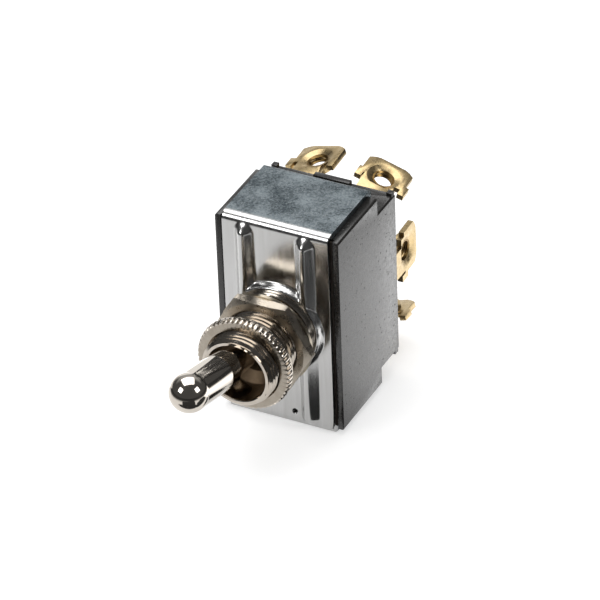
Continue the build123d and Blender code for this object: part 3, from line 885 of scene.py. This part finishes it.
def thread_sleeve(place, way, length):
    """The tapped wall of a screw hole, as a mesh in millimetres."""
    bm = bmesh.new()
    low, high = -length / 2 + set_back, length / 2 - set_back
    thread(bm, tap_root, tap_crest, low, high, 48, lambda depth: unlimited)
    lathe(bm, [(sleeve_radius, low), (sleeve_radius, high)], 48)
    for depth in (low, high):
        close_ring(bm, rim_edges(bm, depth, smallest=1.3, largest=1.9))
    paint(bm, 1, lambda middle: hypot(middle.x, middle.z) < sleeve_wall)
    turn = Vector((0, 1, 0)).rotation_difference(way).to_matrix().to_4x4()
    bmesh.ops.transform(bm, matrix=Matrix.Translation(place) @ turn, verts=bm.verts[:])
    mesh = bpy.data.meshes.new("sleeve")
    bm.to_mesh(mesh)
    bm.free()
    return mesh


for mount in frame["record"]["mounts"]:
    if not mount["name"].startswith("screw_"):
        continue
    node = mount["name"].replace("screw", "terminal")
    bm = merged_copy(node)
    soften(bm, offset=0.1, sharpest=22)
    place, way = Vector(mount["pos_m"]) / MM, Vector(mount["axis"])
    sleeve = thread_sleeve(place, way, mount["dims"]["length_mm"])
    bm.from_mesh(sleeve)
    bpy.data.meshes.remove(sleeve)
    finish_piece(bm, "brass_" + node, "housing", [node], [brass, brass_dark],
                 sharp=40)

# %% [markdown]
# ## The plunger springs
# Each coil spring sits between the floor of its bore, which belongs to the lever's block, and the
# back of its plunger. A stiff copy would be cut by the plunger when it slides in. Here the spring
# is a stiff, merged copy of its CAD node that rides on no body, with its placement baked into its
# mesh.

# %% Springs
for side in ("left", "right"):
    node = "plunger_spring_" + side
    spring = finish_piece(merged_copy(node), "coil_spring_" + side, None, [node],
                          [spring_steel], sharp=40)
    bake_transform(spring)

# %% [markdown]
# ## The paper
# The switch stands on white seamless paper. For the camera the paper is lifted to white, most of
# all far away, and it keeps the shadow. Polished metal shows the paper too, and there its colour is
# painted dark away from the switch: painted shade, seen only in reflections. Near the switch it has
# a painted glow, a little in front and more in two fields behind it, on the left and on the right,
# and this painted light too is seen only in reflections. Farther off it is dark, but for the field
# on the left. All places are in millimetres from the origin, which lies on the bushing's axis.


# %% Floor
def on_stage(bm, name):
    """Makes a mesh in metres a part of the stage, which no piece belongs to."""
    mesh = bpy.data.meshes.new(name)
    bm.to_mesh(mesh)
    bm.free()
    made = bpy.data.objects.new(name, mesh)
    scene.collection.objects.link(made)
    return made


def white_paper():
    """Paper that is lifted for the camera, with painted shade and a painted glow seen only in
    reflections.
    """
    made, tree, mm, shader = new_material("seamless_paper_white", "E6E6E6", 0.0, 0.9)
    path = add(tree, "ShaderNodeLightPath")
    distance = add(tree, "ShaderNodeVectorMath", {"operation": "LENGTH"}, {0: mm})
    split = add(tree, "ShaderNodeSeparateXYZ", None, {"Vector": mm})
    x, y = split.outputs["X"], split.outputs["Y"]
    lift = add(tree, "ShaderNodeMapRange", None, {0: distance, 1: 60, 2: 400, 3: 0.5, 4: 1.0})
    seen = add(tree, "ShaderNodeMath", {"operation": "MULTIPLY"},
               {0: path.outputs["Is Camera Ray"], 1: lift})

    # Painted glow, seen only in reflections: a little in front of the switch, more in a field
    # behind it on the right and in a field behind it on the left.
    ahead = add(tree, "ShaderNodeMapRange", None, {0: y, 1: -38, 2: -5, 3: 0.1, 4: 0.3})
    beside = add(tree, "ShaderNodeMapRange", None, {0: x, 1: 4, 2: 14, 3: 0.0, 4: 0.85})
    beyond = add(tree, "ShaderNodeMapRange", None, {0: y, 1: 6, 2: 20, 3: 0.0, 4: 1.0})
    right = add(tree, "ShaderNodeMath", {"operation": "MULTIPLY_ADD"},
                {0: beside, 1: beyond, 2: ahead})
    nearer = add(tree, "ShaderNodeMapRange", None, {0: y, 1: 0, 2: 20, 3: 0.0, 4: 15.0})
    measured = add(tree, "ShaderNodeMath", {"operation": "ADD"}, {0: distance, 1: nearer})
    near = add(tree, "ShaderNodeMapRange", None, {0: measured, 1: 80, 2: 135, 3: 1.0, 4: 0.0})
    lit = add(tree, "ShaderNodeMath", {"operation": "MULTIPLY"}, {0: right, 1: near})
    left = add(tree, "ShaderNodeMapRange", None, {0: x, 1: -8, 2: -18, 3: 0.0, 4: 0.9})
    behind = add(tree, "ShaderNodeMapRange", None, {0: y, 1: 2, 2: 14, 3: 0.0, 4: 1.0})
    corner = add(tree, "ShaderNodeMath", {"operation": "MULTIPLY"}, {0: left, 1: behind})
    painted_glow = add(tree, "ShaderNodeMath", {"operation": "MAXIMUM"}, {0: corner, 1: lit})

    # Reflected rays see the painted glow, and the camera sees the lift.
    camera_lift_and_painted_glow = add(tree, "ShaderNodeMath", {"operation": "MULTIPLY_ADD"},
                   {0: path.outputs["Is Glossy Ray"], 1: painted_glow, 2: seen})
    # Far from the switch, reflected rays see the paper painted dark: painted shade.
    far = add(tree, "ShaderNodeMath", {"operation": "SUBTRACT"}, {0: 1.0, 1: near})
    painted_shade_in_reflections = add(tree, "ShaderNodeMath", {"operation": "MULTIPLY"},
                {0: path.outputs["Is Glossy Ray"], 1: far})
    fill(shader, {
        "Base Color": add(tree, "ShaderNodeMix", {"data_type": "RGBA"},
                          {0: painted_shade_in_reflections, 6: linear("E6E6E6"), 7: linear("1C1C1C")}),
        "Emission Strength": camera_lift_and_painted_glow,
        "Emission Color": (1, 1, 1, 1),
    })
    return made


floor_z = cad_bounds[0][2] - 0.02 * MM
bm = bmesh.new()
bmesh.ops.create_grid(bm, x_segments=1, y_segments=1, size=3.0)
bmesh.ops.translate(bm, vec=(0, 0, floor_z), verts=bm.verts[:])
floor = on_stage(bm, "floor")
floor.data.materials.append(white_paper())
print("floor at", round(floor_z / MM, 2), "mm")

# %% [markdown]
# ## The studio around it
# The camera sees a white world. Polished metal sees a dark studio: a pale wall that starts high up
# behind the switch on its left, and under it one window, low down and with haze round it. The wall,
# the window and the haze are painted reflections, seen only by reflected rays, and they light
# nothing. A wall or a window is found by how well a direction agrees with the way to it, which is
# the dot product of the two.

# %% World
world = bpy.data.worlds.new("studio")
world.use_nodes = True
scene.world = world
tree = world.node_tree
background = tree.nodes["Background"]
path = add(tree, "ShaderNodeLightPath")
way = add(tree, "ShaderNodeTexCoord").outputs["Generated"]
split = add(tree, "ShaderNodeSeparateXYZ", None, {"Vector": way})
# The wall, the window and its haze are painted reflections, seen only by reflected rays.
to_wall = add(tree, "ShaderNodeVectorMath", {"operation": "DOT_PRODUCT"},
              {0: way, 1: (-0.45, 0.89, 0.0)})
wide = add(tree, "ShaderNodeMapRange", None, {0: to_wall, 1: 0.35, 2: 0.75, 3: 0.0, 4: 0.36})
high = add(tree, "ShaderNodeMapRange", None,
           {0: split.outputs["Z"], 1: 0.36, 2: 0.48, 3: 0.0, 4: 1.0})
upper = add(tree, "ShaderNodeMath", {"operation": "MULTIPLY_ADD"}, {0: wide, 1: high, 2: 0.07})
to_window = add(tree, "ShaderNodeVectorMath", {"operation": "DOT_PRODUCT"},
                {0: way, 1: (-0.557, 0.826, 0.087)})
painted_window = add(tree, "ShaderNodeMapRange", None, {0: to_window, 1: 0.95, 2: 0.97, 3: 0.0, 4: 1.0})
painted_haze = add(tree, "ShaderNodeMapRange", None, {0: to_window, 1: 0.8, 2: 0.95, 3: 0.0, 4: 0.42})
lower = add(tree, "ShaderNodeMath", {"operation": "MAXIMUM"}, {0: painted_haze, 1: painted_window})
painted_wall = add(tree, "ShaderNodeMath", {"operation": "MAXIMUM"}, {0: upper, 1: lower})
seen = add(tree, "ShaderNodeMath", {"operation": "MULTIPLY"},
           {0: path.outputs["Is Glossy Ray"], 1: painted_wall})
soft = add(tree, "ShaderNodeMath", {"operation": "MULTIPLY"},
           {0: path.outputs["Is Diffuse Ray"], 1: 0.2})
total = add(tree, "ShaderNodeMath", {"operation": "ADD"}, {0: seen, 1: soft})
direct = add(tree, "ShaderNodeMath", {"operation": "MAXIMUM"},
             {0: path.outputs["Is Camera Ray"], 1: total})
fill(background, {"Color": (1, 1, 1, 1), "Strength": direct})
print("world nodes:", len(tree.nodes))

# %% [markdown]
# ## The lamps
# One large soft box hangs above and lights the upper faces. Two small ones stand to the left and
# the right of the camera. The ball at the lever's tip shows all three as bright spots. All of them
# face the bushing.


# %% Lamps
def lamp(name, place, width, height, brightness):
    """A soft box at a place, in millimetres, that faces the origin. Brightness 1 is white."""
    data = bpy.data.lights.new(name, "AREA")
    data.shape = "RECTANGLE"
    data.size = width * MM
    data.size_y = height * MM
    data.energy = brightness * pi * width * height * MM * MM
    made = bpy.data.objects.new(name, data)
    made.location = Vector(place) * MM
    made.rotation_mode = "QUATERNION"
    made.rotation_quaternion = (-made.location).to_track_quat("-Z", "Y")
    scene.collection.objects.link(made)
    print(name, "power:", round(data.energy, 2), "W")


lamp("soft_box_above", (-70, 90, 425), 460, 420, 2.5)
lamp("soft_box_left", (-215, -345, 280), 185, 185, 6.0)
lamp("soft_box_right", (400, -15, 280), 185, 185, 5.5)

# %% [markdown]
# ## Black cards: painted shade in reflections
# Three black cards lie flat on the paper and give polished metal dark edges. They are painted
# shade in reflections: they are not seen directly, they cast no shadow, and no diffuse light meets
# them. Their outlines were worked out by following the camera's rays from the dark shapes on the
# ball, the shaft and the ribs.

# %% Black cards, painted shade in reflections
# Outlines of the black cards, which paint shade seen only in reflections.
painted_shade_near = [(8, 5.2), (8, 3), (9.5, -10), (11, -11), (19, -6), (24, 3), (25, 8), (11.5, 8),
             (11.5, 5.2)]
painted_shade_far = [(15, -26), (23, -18), (29, -9), (35, 0), (42, 8), (90, 8), (84, -27), (60, -33),
            (40, -38), (30, -35), (22, -29)]
painted_shade_front = [(4, -34), (-3, -38.5), (-11, -42.5), (-20, -49), (-13, -55.5), (-6, -57), (-9, -80),
              (-12, -115), (130, -115), (60, -62), (28, -38), (27, -29), (28, -19), (20, -25),
              (11, -30)]
card_z = floor_z + 0.1 * MM
bm = bmesh.new()
for outline in (painted_shade_near, painted_shade_far, painted_shade_front):
    bm.faces.new([bm.verts.new((x * MM, y * MM, card_z)) for x, y in outline])
bmesh.ops.recalc_face_normals(bm, faces=bm.faces[:])
painted_shade_cards = on_stage(bm, "painted_shade_sheets")
painted_shade_cards.data.materials.append(new_material("painted_shade_card_matt", "222222", 0.0, 0.9)[0])
painted_shade_cards.visible_camera = False
painted_shade_cards.visible_diffuse = False
painted_shade_cards.visible_shadow = False
painted_shade_cards.visible_transmission = False
print("black cards:", len(painted_shade_cards.data.polygons))
